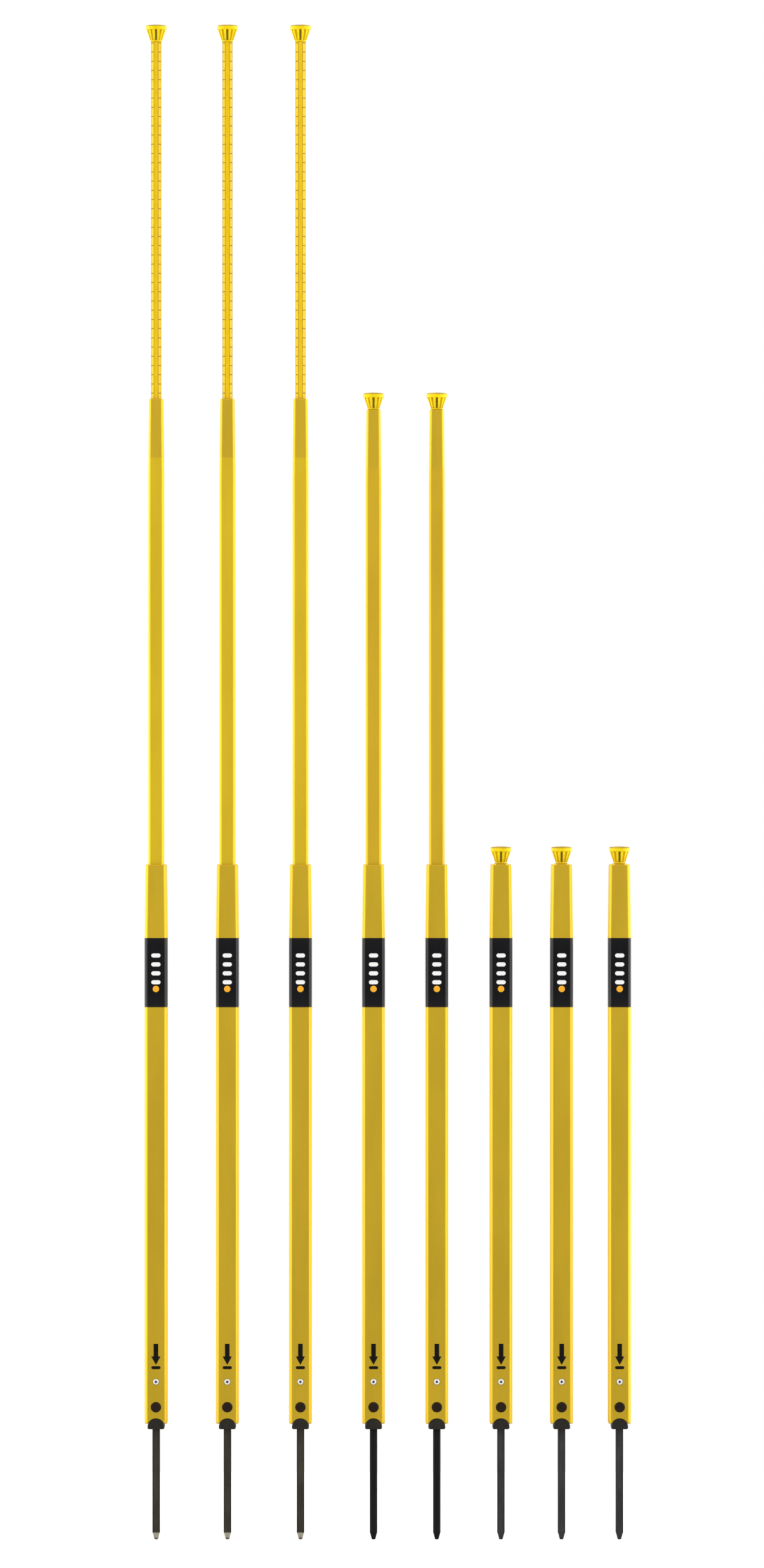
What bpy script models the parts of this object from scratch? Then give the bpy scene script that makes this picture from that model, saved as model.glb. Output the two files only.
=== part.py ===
"""Eight telescoping weave poles on ground spikes, stood in a row.

Lengths are in metres. +Z is up, the row runs along X and the poles' fronts face -Y.
z = 0 is the ground line, where the flat undersides of the base plugs rest on the turf.
Each pole is a square lower tube on a spiked base plug, a square middle tube that slides
in it, and an octagonal rod with a flared cap that slides in the middle tube.
"""

import math

import bmesh
import bpy
from mathutils import Matrix

# Row: each pole's place along X.
POLE_X = (-0.260, -0.180, -0.098, -0.016, 0.055, 0.127, 0.195, 0.260)

# Clearance between neighbouring pieces, and the facets of a rounded corner.
GAP = 0.0003
CORNER_STEPS = 2

# Lower tube: square, with rounded corners and a narrower neck at the top.
LOWER_WIDTH = 0.0254
LOWER_RADIUS = 0.0040
LOWER_WALL = 0.0018
LOWER_FOOT_Z = 0.0061
LOWER_NECK_Z = 0.5510
LOWER_TOP_Z = 0.6330
LOWER_NECK_WIDTH = 0.0234
LOWER_LIP = 0.0060

# Middle tube, measured up from its foot.
MIDDLE_WIDTH = 0.0176
MIDDLE_RADIUS = 0.0030
MIDDLE_WALL = 0.0012
MIDDLE_LENGTH = 0.5710
MIDDLE_NECK_LENGTH = 0.0850
MIDDLE_NECK_WIDTH = 0.0159
MIDDLE_LIP = 0.0050
MIDDLE_COLLAPSED_TOP_Z = 0.6345
MIDDLE_EXTENDED_TOP_Z = 1.1560
MIDDLE_SHORT_OF_FULL = 0.0120

# Upper rod, measured up from its foot. Its width is across the flats.
ROD_WIDTH = 0.0113
ROD_WALL = 0.0016
ROD_LENGTH = 0.4550
ROD_TRAVEL = 0.4010

# End cap, measured up from its underside.
CAP_HEIGHT = 0.0187
CAP_RIM_RADIUS = 0.0117
CAP_RIM_HEIGHT = 0.0050
CAP_COLLAR_RADIUS = 0.0067
CAP_COLLAR_HEIGHT = 0.0015
CAP_RIB_COUNT = 12
CAP_RIB_FOOT_RADIUS = 0.0070
CAP_RIB_TOP_RADIUS = 0.0113
CAP_VALLEY_TOP_RADIUS = 0.0094
CAP_CROWN = 0.0006
CAP_SPIGOT_RADIUS = 0.00375
CAP_SPIGOT_LENGTH = 0.0090

# Base plug: a domed knuckle below the tube and a block inside it.
DOME_RADIUS = 0.0095
DOME_TOP_Z = 0.0121
DOME_STEPS = 12
KNUCKLE_DEPTH = 0.0248
KNUCKLE_CORNER = 0.0020
KNUCKLE_CHAMFER = 0.0010
BLOCK_TOP_Z = 0.0600

# Ground spike.
SPIKE_WIDTH = 0.0084
SPIKE_CHAMFER = 0.0010
SPIKE_TOP_Z = 0.0450
SPIKE_SHOULDER_Z = -0.1167
SPIKE_TIP_Z = -0.1245
SPIKE_TIP_WIDTH = 0.0046

# Release button, pressed towards +Y.
BUTTON_Z = 0.0248
BUTTON_RADIUS = 0.00545
BUTTON_EDGE = 0.0005
BUTTON_PROUD = 0.0008
BUTTON_FLANGE_RADIUS = 0.0065
BUTTON_FLANGE = 0.0014
BUTTON_TRAVEL = 0.0026
BUTTON_SPRING_ROOM = 0.0014
BUTTON_STEPS = 20

# Worked out from the above.
LOWER_BORE = LOWER_WIDTH - 2 * LOWER_WALL
LOWER_NECK_BORE = LOWER_NECK_WIDTH - 2 * LOWER_WALL
LOWER_MOUTH = MIDDLE_WIDTH + 2 * GAP
MIDDLE_SLEEVE_WIDTH = LOWER_NECK_BORE - 2 * GAP
MIDDLE_FULL_TRAVEL = MIDDLE_EXTENDED_TOP_Z - MIDDLE_COLLAPSED_TOP_Z
MIDDLE_COLLAPSED_FOOT_Z = MIDDLE_COLLAPSED_TOP_Z - MIDDLE_LENGTH
MIDDLE_SLEEVE_HEIGHT = LOWER_TOP_Z - LOWER_LIP - GAP - (MIDDLE_EXTENDED_TOP_Z - MIDDLE_LENGTH)
MIDDLE_BORE = MIDDLE_WIDTH - 2 * MIDDLE_WALL
MIDDLE_NECK_BORE = MIDDLE_NECK_WIDTH - 2 * MIDDLE_WALL
MIDDLE_MOUTH = ROD_WIDTH + 2 * GAP
ROD_SLEEVE_WIDTH = MIDDLE_NECK_BORE - 2 * GAP
ROD_COLLAPSED_FOOT = MIDDLE_LENGTH - ROD_LENGTH
ROD_SLEEVE_HEIGHT = MIDDLE_LENGTH - MIDDLE_LIP - GAP - (ROD_COLLAPSED_FOOT + ROD_TRAVEL)
BLOCK_WIDTH = LOWER_BORE - 2 * GAP
DOME_CENTRE_Z = DOME_TOP_Z - DOME_RADIUS

# (middle tube raised by, rod raised by) for each pole of the row.
EXTENDED = (MIDDLE_FULL_TRAVEL, ROD_TRAVEL)
MIDDLE_ONLY = (MIDDLE_FULL_TRAVEL - MIDDLE_SHORT_OF_FULL, 0.0)
COLLAPSED = (0.0, 0.0)
POLE_STAGES = (EXTENDED,) * 3 + (MIDDLE_ONLY,) * 2 + (COLLAPSED,) * 3


def clear_scene():
    for obj in list(bpy.data.objects):
        bpy.data.objects.remove(obj, do_unlink=True)


def make_material(name, colour, roughness, metallic=0.0):
    material = bpy.data.materials.new(name)
    material.use_nodes = True
    shader = material.node_tree.nodes["Principled BSDF"]
    shader.inputs["Base Color"].default_value = (*colour, 1.0)
    shader.inputs["Roughness"].default_value = roughness
    shader.inputs["Metallic"].default_value = metallic
    return material


def rounded_square(width, radius, z):
    """Ring of a square section with rounded corners."""
    offset = width / 2 - radius
    ring = []
    for corner in range(4):
        middle = math.radians(45 + 90 * corner)
        cx = math.copysign(offset, math.cos(middle))
        cy = math.copysign(offset, math.sin(middle))
        for step in range(CORNER_STEPS + 1):
            angle = math.radians(90 * corner + 90 * step / CORNER_STEPS)
            ring.append((cx + radius * math.cos(angle), cy + radius * math.sin(angle), z))
    return ring


def octagon(width, z):
    """Ring of a regular octagon, with its flats facing the row axes and the diagonals."""
    radius = width / 2 / math.cos(math.pi / 8)
    angles = [math.pi / 8 + math.pi / 4 * side for side in range(8)]
    return [(radius * math.cos(a), radius * math.sin(a), z) for a in angles]


def circle(radius, z, steps):
    angles = [2 * math.pi * step / steps for step in range(steps)]
    return [(radius * math.cos(a), radius * math.sin(a), z) for a in angles]


def ribbed(rib_radius, valley_radius, z):
    """Ring of the cap's section: a point on each rib and one in each valley between them."""
    ring = []
    for step in range(2 * CAP_RIB_COUNT):
        angle = math.pi / CAP_RIB_COUNT * step
        radius = rib_radius if step % 2 else valley_radius
        ring.append((radius * math.cos(angle), radius * math.sin(angle), z))
    return ring


def loft(name, rings, hollow=False, sharp_degrees=30):
    """Mesh through the rings in turn. A hollow loft joins its last ring to its first."""
    bm = bmesh.new()
    loops = [[bm.verts.new(point) for point in ring] for ring in rings]
    pairs = list(zip(loops, loops[1:] + loops[:1]))
    if not hollow:
        pairs.pop()
        bm.faces.new(loops[0])
        bm.faces.new(loops[-1])
    for low, high in pairs:
        count = len(low)
        for i in range(count):
            j = (i + 1) % count
            bm.faces.new((low[i], low[j], high[j], high[i]))
    bmesh.ops.recalc_face_normals(bm, faces=bm.faces[:])
    mesh = bpy.data.meshes.new(name)
    bm.to_mesh(mesh)
    bm.free()
    mesh.shade_smooth()
    mesh.set_sharp_from_angle(angle=math.radians(sharp_degrees))
    return mesh


def turned_to_front(mesh):
    """Turn a mesh built along +Z so that it points to the front, -Y."""
    mesh.transform(Matrix.Rotation(math.radians(90), 4, "X"))
    return mesh


def combined(name, body_mesh, changes, sharp_degrees=30):
    """Mesh of a body after each (mesh, operation) Boolean in turn."""
    body = bpy.data.objects.new(name, body_mesh)
    bpy.context.collection.objects.link(body)
    helpers = []
    for tool_mesh, operation in changes:
        tool = bpy.data.objects.new("tool", tool_mesh)
        bpy.context.collection.objects.link(tool)
        helpers.append(tool)
        boolean = body.modifiers.new("shape", "BOOLEAN")
        boolean.operation = operation
        boolean.solver = "EXACT"
        boolean.object = tool
    graph = bpy.context.evaluated_depsgraph_get()
    mesh = bpy.data.meshes.new_from_object(body.evaluated_get(graph))
    for obj in [body] + helpers:
        bpy.data.objects.remove(obj, do_unlink=True)
    mesh.name = name
    mesh.shade_smooth()
    mesh.set_sharp_from_angle(angle=math.radians(sharp_degrees))
    return mesh


def lower_tube_mesh():
    """Square tube with a neck, a stop lip in its mouth, a button hole and an arched foot."""
    inner_radius = LOWER_RADIUS - LOWER_WALL
    lip_z = LOWER_TOP_Z - LOWER_LIP
    mouth_radius = MIDDLE_RADIUS + GAP
    tube = loft("lower_tube", [
        rounded_square(LOWER_WIDTH, LOWER_RADIUS, LOWER_FOOT_Z),
        rounded_square(LOWER_WIDTH, LOWER_RADIUS, LOWER_NECK_Z),
        rounded_square(LOWER_NECK_WIDTH, LOWER_RADIUS, LOWER_TOP_Z),
        rounded_square(LOWER_MOUTH, mouth_radius, LOWER_TOP_Z),
        rounded_square(LOWER_MOUTH, mouth_radius, lip_z),
        rounded_square(LOWER_NECK_BORE, inner_radius, lip_z),
        rounded_square(LOWER_BORE, inner_radius, LOWER_NECK_Z),
        rounded_square(LOWER_BORE, inner_radius, LOWER_FOOT_Z),
    ], hollow=True)
    arch_radius = DOME_RADIUS + GAP
    arch = turned_to_front(loft("arch", [
        circle(arch_radius, -LOWER_WIDTH, 2 * DOME_STEPS),
        circle(arch_radius, LOWER_WIDTH, 2 * DOME_STEPS),
    ]))
    arch.transform(Matrix.Translation((0, 0, DOME_CENTRE_Z)))
    hole_radius = BUTTON_RADIUS + GAP
    hole = turned_to_front(loft("hole", [
        circle(hole_radius, LOWER_BORE / 4, BUTTON_STEPS),
        circle(hole_radius, LOWER_WIDTH, BUTTON_STEPS),
    ]))
    hole.transform(Matrix.Translation((0, 0, BUTTON_Z)))
    return combined("lower_tube", tube, [(arch, "DIFFERENCE"), (hole, "DIFFERENCE")])


def middle_tube_mesh():
    """Square tube with a neck, a stop lip in its mouth and a wider guide sleeve at its foot."""
    inner_radius = MIDDLE_RADIUS - MIDDLE_WALL
    sleeve_radius = MIDDLE_RADIUS + (MIDDLE_SLEEVE_WIDTH - MIDDLE_WIDTH) / 2
    neck_z = MIDDLE_LENGTH - MIDDLE_NECK_LENGTH
    lip_z = MIDDLE_LENGTH - MIDDLE_LIP
    return loft("middle_tube", [
        rounded_square(MIDDLE_SLEEVE_WIDTH, sleeve_radius, 0),
        rounded_square(MIDDLE_SLEEVE_WIDTH, sleeve_radius, MIDDLE_SLEEVE_HEIGHT),
        rounded_square(MIDDLE_WIDTH, MIDDLE_RADIUS, MIDDLE_SLEEVE_HEIGHT),
        rounded_square(MIDDLE_WIDTH, MIDDLE_RADIUS, neck_z),
        rounded_square(MIDDLE_NECK_WIDTH, MIDDLE_RADIUS, MIDDLE_LENGTH),
        rounded_square(MIDDLE_MOUTH, MIDDLE_RADIUS, MIDDLE_LENGTH),
        rounded_square(MIDDLE_MOUTH, MIDDLE_RADIUS, lip_z),
        rounded_square(MIDDLE_NECK_BORE, inner_radius, lip_z),
        rounded_square(MIDDLE_BORE, inner_radius, neck_z),
        rounded_square(MIDDLE_BORE, inner_radius, 0),
    ], hollow=True)


def upper_rod_mesh():
    """Octagonal tube with a wider guide sleeve at its foot."""
    bore = ROD_WIDTH - 2 * ROD_WALL
    return loft("upper_rod", [
        octagon(ROD_SLEEVE_WIDTH, 0),
        octagon(ROD_SLEEVE_WIDTH, ROD_SLEEVE_HEIGHT),
        octagon(ROD_WIDTH, ROD_SLEEVE_HEIGHT),
        octagon(ROD_WIDTH, ROD_LENGTH),
        octagon(bore, ROD_LENGTH),
        octagon(bore, 0),
    ], hollow=True)


def end_cap_mesh():
    """Flared cap: a spigot for the rod, a collar, ribs, and a round rim with a crowned top."""
    rim_z = CAP_HEIGHT - CAP_CROWN
    under_rim_z = rim_z - CAP_RIM_HEIGHT
    crown_radius = 0.8 * CAP_RIM_RADIUS
    return loft("end_cap", [
        ribbed(CAP_SPIGOT_RADIUS, CAP_SPIGOT_RADIUS, -CAP_SPIGOT_LENGTH),
        ribbed(CAP_SPIGOT_RADIUS, CAP_SPIGOT_RADIUS, 0),
        ribbed(CAP_COLLAR_RADIUS, CAP_COLLAR_RADIUS, 0),
        ribbed(CAP_COLLAR_RADIUS, CAP_COLLAR_RADIUS, CAP_COLLAR_HEIGHT),
        ribbed(CAP_RIB_FOOT_RADIUS, CAP_COLLAR_RADIUS, CAP_COLLAR_HEIGHT + GAP),
        ribbed(CAP_RIB_TOP_RADIUS, CAP_VALLEY_TOP_RADIUS, under_rim_z),
        ribbed(CAP_RIM_RADIUS, CAP_RIM_RADIUS, under_rim_z + GAP),
        ribbed(CAP_RIM_RADIUS, CAP_RIM_RADIUS, rim_z),
        ribbed(crown_radius, crown_radius, CAP_HEIGHT),
    ])


def knuckle_ring(inset, y):
    """Ring of the knuckle's front outline: a half-round top and a flat foot with round corners."""
    radius = DOME_RADIUS - inset
    ring = []
    for step in range(DOME_STEPS + 1):
        angle = math.pi * step / DOME_STEPS
        ring.append((radius * math.cos(angle), y, DOME_CENTRE_Z + radius * math.sin(angle)))
    corner = KNUCKLE_CORNER - inset
    for side, start in ((-1, math.pi), (1, 1.5 * math.pi)):
        for step in range(3):
            angle = start + math.pi / 4 * step
            x = side * (radius - corner) + corner * math.cos(angle)
            ring.append((x, y, KNUCKLE_CORNER + corner * math.sin(angle)))
    return ring


def base_plug_mesh():
    """Knuckle under the tube and block inside it, with a socket for the spike and the button."""
    half = KNUCKLE_DEPTH / 2
    knuckle = loft("base_plug", [
        knuckle_ring(KNUCKLE_CHAMFER, -half),
        knuckle_ring(0, KNUCKLE_CHAMFER - half),
        knuckle_ring(0, half - KNUCKLE_CHAMFER),
        knuckle_ring(KNUCKLE_CHAMFER, half),
    ])
    block_radius = LOWER_RADIUS - LOWER_WALL
    block = loft("block", [
        rounded_square(BLOCK_WIDTH, block_radius, LOWER_FOOT_Z),
        rounded_square(BLOCK_WIDTH, block_radius, BLOCK_TOP_Z),
    ])
    socket_width = SPIKE_WIDTH + 2 * GAP
    socket = loft("socket", [
        rounded_square(socket_width, SPIKE_CHAMFER, -SPIKE_WIDTH),
        rounded_square(socket_width, SPIKE_CHAMFER, SPIKE_TOP_Z + GAP),
    ])
    pocket_radius = BUTTON_FLANGE_RADIUS + GAP
    pocket = turned_to_front(loft("pocket", [
        circle(pocket_radius, button_back() - BUTTON_TRAVEL - BUTTON_SPRING_ROOM, BUTTON_STEPS),
        circle(pocket_radius, LOWER_WIDTH, BUTTON_STEPS),
    ]))
    pocket.transform(Matrix.Translation((0, 0, BUTTON_Z)))
    return combined("base_plug", knuckle, [
        (block, "UNION"), (socket, "DIFFERENCE"), (pocket, "DIFFERENCE"),
    ])


def ground_spike_mesh():
    """Square bar with chamfered edges, a shoulder and a blunt point."""
    return loft("ground_spike", [
        chamfered_square(SPIKE_TIP_WIDTH, SPIKE_TIP_Z),
        chamfered_square(SPIKE_WIDTH, SPIKE_SHOULDER_Z),
        chamfered_square(SPIKE_WIDTH, SPIKE_TOP_Z),
    ])


def chamfered_square(width, z):
    half = width / 2
    inner = half - SPIKE_CHAMFER
    right = [(half, -inner), (half, inner), (inner, half), (-inner, half)]
    left = [(-x, -y) for x, y in right]
    return [(x, y, z) for x, y in right + left]


def button_back():
    """Distance of the button's back from the pole's axis, at rest."""
    return LOWER_BORE / 2 - GAP - BUTTON_FLANGE


def release_button_mesh():
    """Round button with a flange that stays behind the tube's wall."""
    flange_front = button_back() + BUTTON_FLANGE
    face = LOWER_WIDTH / 2 + BUTTON_PROUD
    return turned_to_front(loft("release_button", [
        circle(BUTTON_FLANGE_RADIUS, button_back(), BUTTON_STEPS),
        circle(BUTTON_FLANGE_RADIUS, flange_front, BUTTON_STEPS),
        circle(BUTTON_RADIUS, flange_front, BUTTON_STEPS),
        circle(BUTTON_RADIUS, face - BUTTON_EDGE, BUTTON_STEPS),
        circle(BUTTON_RADIUS - BUTTON_EDGE, face, BUTTON_STEPS),
    ]))


def place(name, mesh, material, parent, location=(0, 0, 0)):
    """Object that shares a mesh and has a material of its own."""
    obj = bpy.data.objects.new(name, mesh)
    bpy.context.collection.objects.link(obj)
    if not mesh.materials:
        mesh.materials.append(None)
    obj.material_slots[0].link = "OBJECT"
    obj.material_slots[0].material = material
    obj.parent = parent
    obj.location = location
    return obj


def add_pole(number, x, stages, meshes, materials):
    """One pole, with each piece parented to the piece that carries it."""
    middle_raised, rod_raised = stages
    prefix = "pole_%d_" % number
    root = bpy.data.objects.new(prefix + "place", None)
    bpy.context.collection.objects.link(root)
    root.location = (x, 0, 0)

    def add(piece, material, parent, location=(0, 0, 0)):
        return place(prefix + piece, meshes[piece], materials[material], parent, location)

    lower = add("lower_tube", "lower_yellow", root)
    plug = add("base_plug", "black_plastic", lower)
    add("ground_spike", spike_finish(number), plug)
    add("release_button", "button_black", plug, (0, 0, BUTTON_Z))
    middle_z = MIDDLE_COLLAPSED_FOOT_Z + middle_raised
    middle = add("middle_tube", "middle_yellow", lower, (0, 0, middle_z))
    rod = add("upper_rod", "rod_yellow", middle, (0, 0, ROD_COLLAPSED_FOOT + rod_raised))
    add("end_cap", "cap_yellow", rod, (0, 0, ROD_LENGTH + GAP))


def spike_finish(number):
    """The long poles' spikes are worn, the next two are black and the rest dark grey."""
    if number <= 3:
        return "worn_steel"
    return "black_steel" if number <= 5 else "grey_steel"


def build():
    clear_scene()
    materials = {
        "lower_yellow": make_material("lower_yellow", (0.68, 0.47, 0.03), 0.32),
        "middle_yellow": make_material("middle_yellow", (0.74, 0.52, 0.03), 0.32),
        "rod_yellow": make_material("rod_yellow", (0.90, 0.62, 0.02), 0.40),
        "cap_yellow": make_material("cap_yellow", (0.88, 0.64, 0.03), 0.40),
        "black_plastic": make_material("black_plastic", (0.020, 0.019, 0.017), 0.50),
        "button_black": make_material("button_black", (0.024, 0.022, 0.020), 0.45),
        "worn_steel": make_material("worn_steel", (0.050, 0.044, 0.032), 0.50, 0.6),
        "black_steel": make_material("black_steel", (0.014, 0.014, 0.014), 0.45, 0.4),
        "grey_steel": make_material("grey_steel", (0.042, 0.042, 0.042), 0.45, 0.6),
    }
    meshes = {
        "lower_tube": lower_tube_mesh(),
        "base_plug": base_plug_mesh(),
        "ground_spike": ground_spike_mesh(),
        "release_button": release_button_mesh(),
        "middle_tube": middle_tube_mesh(),
        "upper_rod": upper_rod_mesh(),
        "end_cap": end_cap_mesh(),
    }
    for index, (x, stages) in enumerate(zip(POLE_X, POLE_STAGES)):
        add_pole(index + 1, x, stages, meshes, materials)


build()
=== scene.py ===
"""Looks for the row of telescoping weave poles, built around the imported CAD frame.

Lengths are in metres, in the CAD's frame: +Z up, the row along X, fronts facing -Y.
Every mesh is made in place, so object coordinates are rest coordinates in all materials.
"""

import math

import bmesh
import bpy
from mathutils import Matrix, Vector

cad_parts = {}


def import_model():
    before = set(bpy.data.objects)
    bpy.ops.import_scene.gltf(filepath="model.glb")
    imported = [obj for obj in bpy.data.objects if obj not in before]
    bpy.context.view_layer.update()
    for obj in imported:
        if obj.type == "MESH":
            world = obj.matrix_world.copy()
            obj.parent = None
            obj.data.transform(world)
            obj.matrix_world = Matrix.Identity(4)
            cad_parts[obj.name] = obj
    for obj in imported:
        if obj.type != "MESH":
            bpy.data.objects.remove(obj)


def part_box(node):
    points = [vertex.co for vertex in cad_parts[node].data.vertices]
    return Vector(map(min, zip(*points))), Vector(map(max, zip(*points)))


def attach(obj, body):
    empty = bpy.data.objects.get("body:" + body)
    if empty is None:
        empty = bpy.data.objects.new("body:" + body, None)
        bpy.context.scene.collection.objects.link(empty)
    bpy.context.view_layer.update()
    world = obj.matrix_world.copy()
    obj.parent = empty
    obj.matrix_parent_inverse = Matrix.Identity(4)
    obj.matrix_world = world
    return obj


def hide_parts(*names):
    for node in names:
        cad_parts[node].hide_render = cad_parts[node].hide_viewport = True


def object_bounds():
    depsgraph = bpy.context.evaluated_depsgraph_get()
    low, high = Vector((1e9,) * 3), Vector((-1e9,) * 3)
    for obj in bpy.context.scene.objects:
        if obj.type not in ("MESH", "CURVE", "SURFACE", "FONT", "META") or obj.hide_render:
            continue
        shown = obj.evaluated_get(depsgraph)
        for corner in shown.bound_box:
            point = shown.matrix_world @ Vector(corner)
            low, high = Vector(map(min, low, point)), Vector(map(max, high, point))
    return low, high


POLE_COUNT = 8

# How finely curves are cut, and the share of a half flat that eases into each corner.
CORNER_STEPS = 8
ROUND_STEPS = 48
DOME_STEPS = 40
FLAT_EASE = 0.12
BEVEL_STEPS = 3
BEVEL_ANGLE = math.radians(50)
SHARP_ANGLE = math.radians(35)

# Gap between neighbouring pieces, the easing of plain edges, and how far a cutter stands out.
GAP = 0.0003
EDGE = 0.0003
CUT_CLEARANCE = 0.0001

# Tubes: what the CAD boxes don't give.
LOWER_RADIUS = 0.0040
LOWER_WALL = 0.0018
LOWER_NECK_LENGTH = 0.0820
LOWER_NECK_WIDTH = 0.0234
LOWER_LIP = 0.0060
LOWER_MOUTH = 0.0182
LOWER_MOUTH_RECESS = 0.0030
LOWER_MOUTH_WALL = 0.0013
MIDDLE_WIDTH = 0.0176
MIDDLE_RADIUS = 0.0030
MIDDLE_WALL = 0.0012
MIDDLE_NECK_LENGTH = 0.0850
MIDDLE_NECK_WIDTH = 0.0159
MIDDLE_DULL_LENGTH = 0.0660
MIDDLE_LIP = 0.0050
MIDDLE_MOUTH = 0.0119
MIDDLE_MOUTH_RECESS = 0.0020
MIDDLE_MOUTH_WALL = 0.0010
MIDDLE_SLEEVE_HEIGHT = 0.0417
MOUTH_ROUND = 0.0009
FOOT_ROUND = 0.0014

# Upper rod.
ROD_WIDTH = 0.0113
ROD_WALL = 0.0016
ROD_SLEEVE_HEIGHT = 0.0487
ROD_EDGE = 0.0004
ROD_CREASE = 0.0005
ROD_SHARP_ANGLE = math.radians(28)
CREASE_ANGLE = math.radians(3.5)

# Share of a wall's or a notch's depth past which a face counts as inside it.
INSIDE_SHARE = 0.8

# Click notches of the upper rod.
NOTCH_PITCH = 0.01035
NOTCH_HEIGHT = 0.0012
NOTCH_DEPTH = 0.0006
NOTCH_FLOOR = 0.6
FIRST_NOTCH = 0.0014

# End cap, measured up from its underside.
CAP_FLUTES = 12
CAP_FLUTE_WIDTH = 0.0027
CAP_FLUTE_FLOOR = 0.85
CAP_CONE_STEPS = 6
CAP_COLLAR_RADIUS = 0.0067
CAP_COLLAR_HEIGHT = 0.0014
CAP_RIM_RADIUS = 0.0117
CAP_RIM_HEIGHT = 0.0050
CAP_CROWN = 0.0006
CAP_LOW_ROUND = 0.0011
CAP_HIGH_ROUND = 0.0019
CAP_DARK_TOP_HEIGHT = 0.0012
CAP_RIB_RADII = (0.0069, 0.0110)
CAP_FLUTE_RADII = (0.0056, 0.0088)
CAP_FLUTE_REACH = tuple(radius + 0.0002 for radius in CAP_FLUTE_RADII)
CAP_LIP_ROUND = 0.0005
CAP_SPIGOT_RADIUS = 0.00375

# Base plug, with the pocket behind the button.
DOME_RADIUS = 0.0095
DOME_TOP_Z = 0.0121
KNUCKLE_DEPTH = 0.0248
KNUCKLE_CORNER = 0.0020
KNUCKLE_ROUND = 0.0012
KNUCKLE_CORNER_STEPS = 8
BLOCK_TOP_Z = 0.0600
POCKET_ROOM = 0.0040
POCKET_FRONT = 0.0200

# Ground spike. The nose is the round end of its tip, and its share is of the tip's width.
SPIKE_STEPS = 4
SPIKE_WIDTH = 0.0084
SPIKE_RADIUS = 0.0011
SPIKE_SHOULDER = 0.0078
SPIKE_SHOULDER_EASE = 0.0007
SPIKE_SHOULDER_DROP = 0.0004
SPIKE_SHOULDER_RADIUS = 0.0016
SPIKE_TIP_WIDTH = 0.0046
SPIKE_TIP_ROUND = 0.36
SPIKE_NOSE = 0.0012
SPIKE_NOSE_SHARE = 0.35
SPIKE_NOSE_ROUND = 0.15
SPIKE_EDGE_ANGLE = math.radians(12)

# Release button and plug screw.
BUTTON_RADIUS = 0.00545
BUTTON_FLANGE_RADIUS = 0.0065
BUTTON_FLANGE = 0.0014
BUTTON_RIM = 0.0006
BUTTON_CROWN = 0.0002
SCREW_Z = 0.0533
SCREW_RADIUS = 0.0032
SCREW_DOME = 0.4
SCREW_WASHER_RADIUS = 0.0036
SCREW_WASHER_TOP = 0.0001
SCREW_HEAD_FOOT = 0.0002
SCREW_HEIGHT = 0.0007
SCREW_RECESS = 0.0005
SCREW_CROSS = (0.0033, 0.0014)
SCREW_CROSS_REACH = 0.0017
SCREW_CROSS_TAPER = 0.6

# Label band under the neck, with its marks, and the arrow low on the tube.
LABEL_HEIGHT = 0.0776
LABEL_PROUD = 0.00015
LABEL_CLEARANCE = 0.00001
MARK_THICKNESS = 0.00006
BAR_COUNT = 4
BAR_WIDTH = 0.0104
BAR_HEIGHT = 0.0046
BAR_PITCH = 0.0100
BARS_BELOW_TOP = 0.0196
DOT_BELOW_TOP = 0.0571
DOT_RADIUS = 0.0036
ARROW_TOP_Z = 0.0960
ARROW_BOTTOM_Z = 0.0675
ARROW_WIDTH = 0.0104
ARROW_HEAD = 0.0095
ARROW_SHAFT_WIDTH = 0.0052
GROUND_LINE_HEIGHT = 0.0034
GROUND_LINE_GAP = 0.0014

# Floor: its half size, its drop under the points, and how much it glows to the camera.
FLOOR_REACH = 0.8
FLOOR_DROP = 0.0002
FLOOR_GLOW = 0.62

# Surround: its level, then where each light's soft edge starts and ends along its axis, as a
# share of the direction, and what the light adds.
FILL_LIGHT = 0.50
SIDE_LIGHT = (0.36, 0.62, 1.80)
TOP_LIGHT = (0.80, 0.95, 0.50)
FRONT_AND_BACK_DIP = (0.80, 0.97, -0.30)

# Camera: the picture's centre and height at the poles' plane.
CAMERA_DISTANCE = 9.0
CAMERA_Z = 0.80
FRAME_CENTRE_X = -0.0065
FRAME_CENTRE_Z = 0.7236
FRAME_HEIGHT = 1.7608
SENSOR = 36.0


# ---------------------------------------------------------------- mesh tools

def rounded_square(width, radius, z, steps=CORNER_STEPS):
    """Ring of a square section with rounded corners, and a point on the flat at each side."""
    offset = width / 2 - radius
    beside = FLAT_EASE * offset
    ring = []
    for corner in range(4):
        middle = math.radians(45 + 90 * corner)
        cx = math.copysign(offset, math.cos(middle))
        cy = math.copysign(offset, math.sin(middle))
        arc = [(step / steps, 0.0) for step in range(steps + 1)]
        for share, along in [(0, -beside), *arc, (1, beside)]:
            angle = math.radians(90 * corner + 90 * share)
            ring.append((cx + radius * math.cos(angle) - along * math.sin(angle),
                         cy + radius * math.sin(angle) + along * math.cos(angle), z))
    return ring


def between(ends, share):
    """Value at a share of the way from the first of two ends to the second."""
    return ends[0] + (ends[1] - ends[0]) * share


def circle(radius, z, steps=ROUND_STEPS):
    angles = [2 * math.pi * step / steps for step in range(steps)]
    return [(radius * math.cos(a), radius * math.sin(a), z) for a in angles]


def rectangle(sides, scale, z):
    x, y = scale * sides[0] / 2, scale * sides[1] / 2
    return [(-x, -y, z), (x, -y, z), (x, y, z), (-x, y, z)]


def quarter(steps):
    """Angles of a quarter turn, from 0 to 90 degrees."""
    return [math.pi / 2 * step / steps for step in range(steps + 1)]


def rounding(radius, steps):
    """Inset and drop of each ring round an edge, from its side to its end face."""
    return [(radius * (1 - math.cos(angle)), radius * (1 - math.sin(angle)))
            for angle in quarter(steps)]


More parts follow.
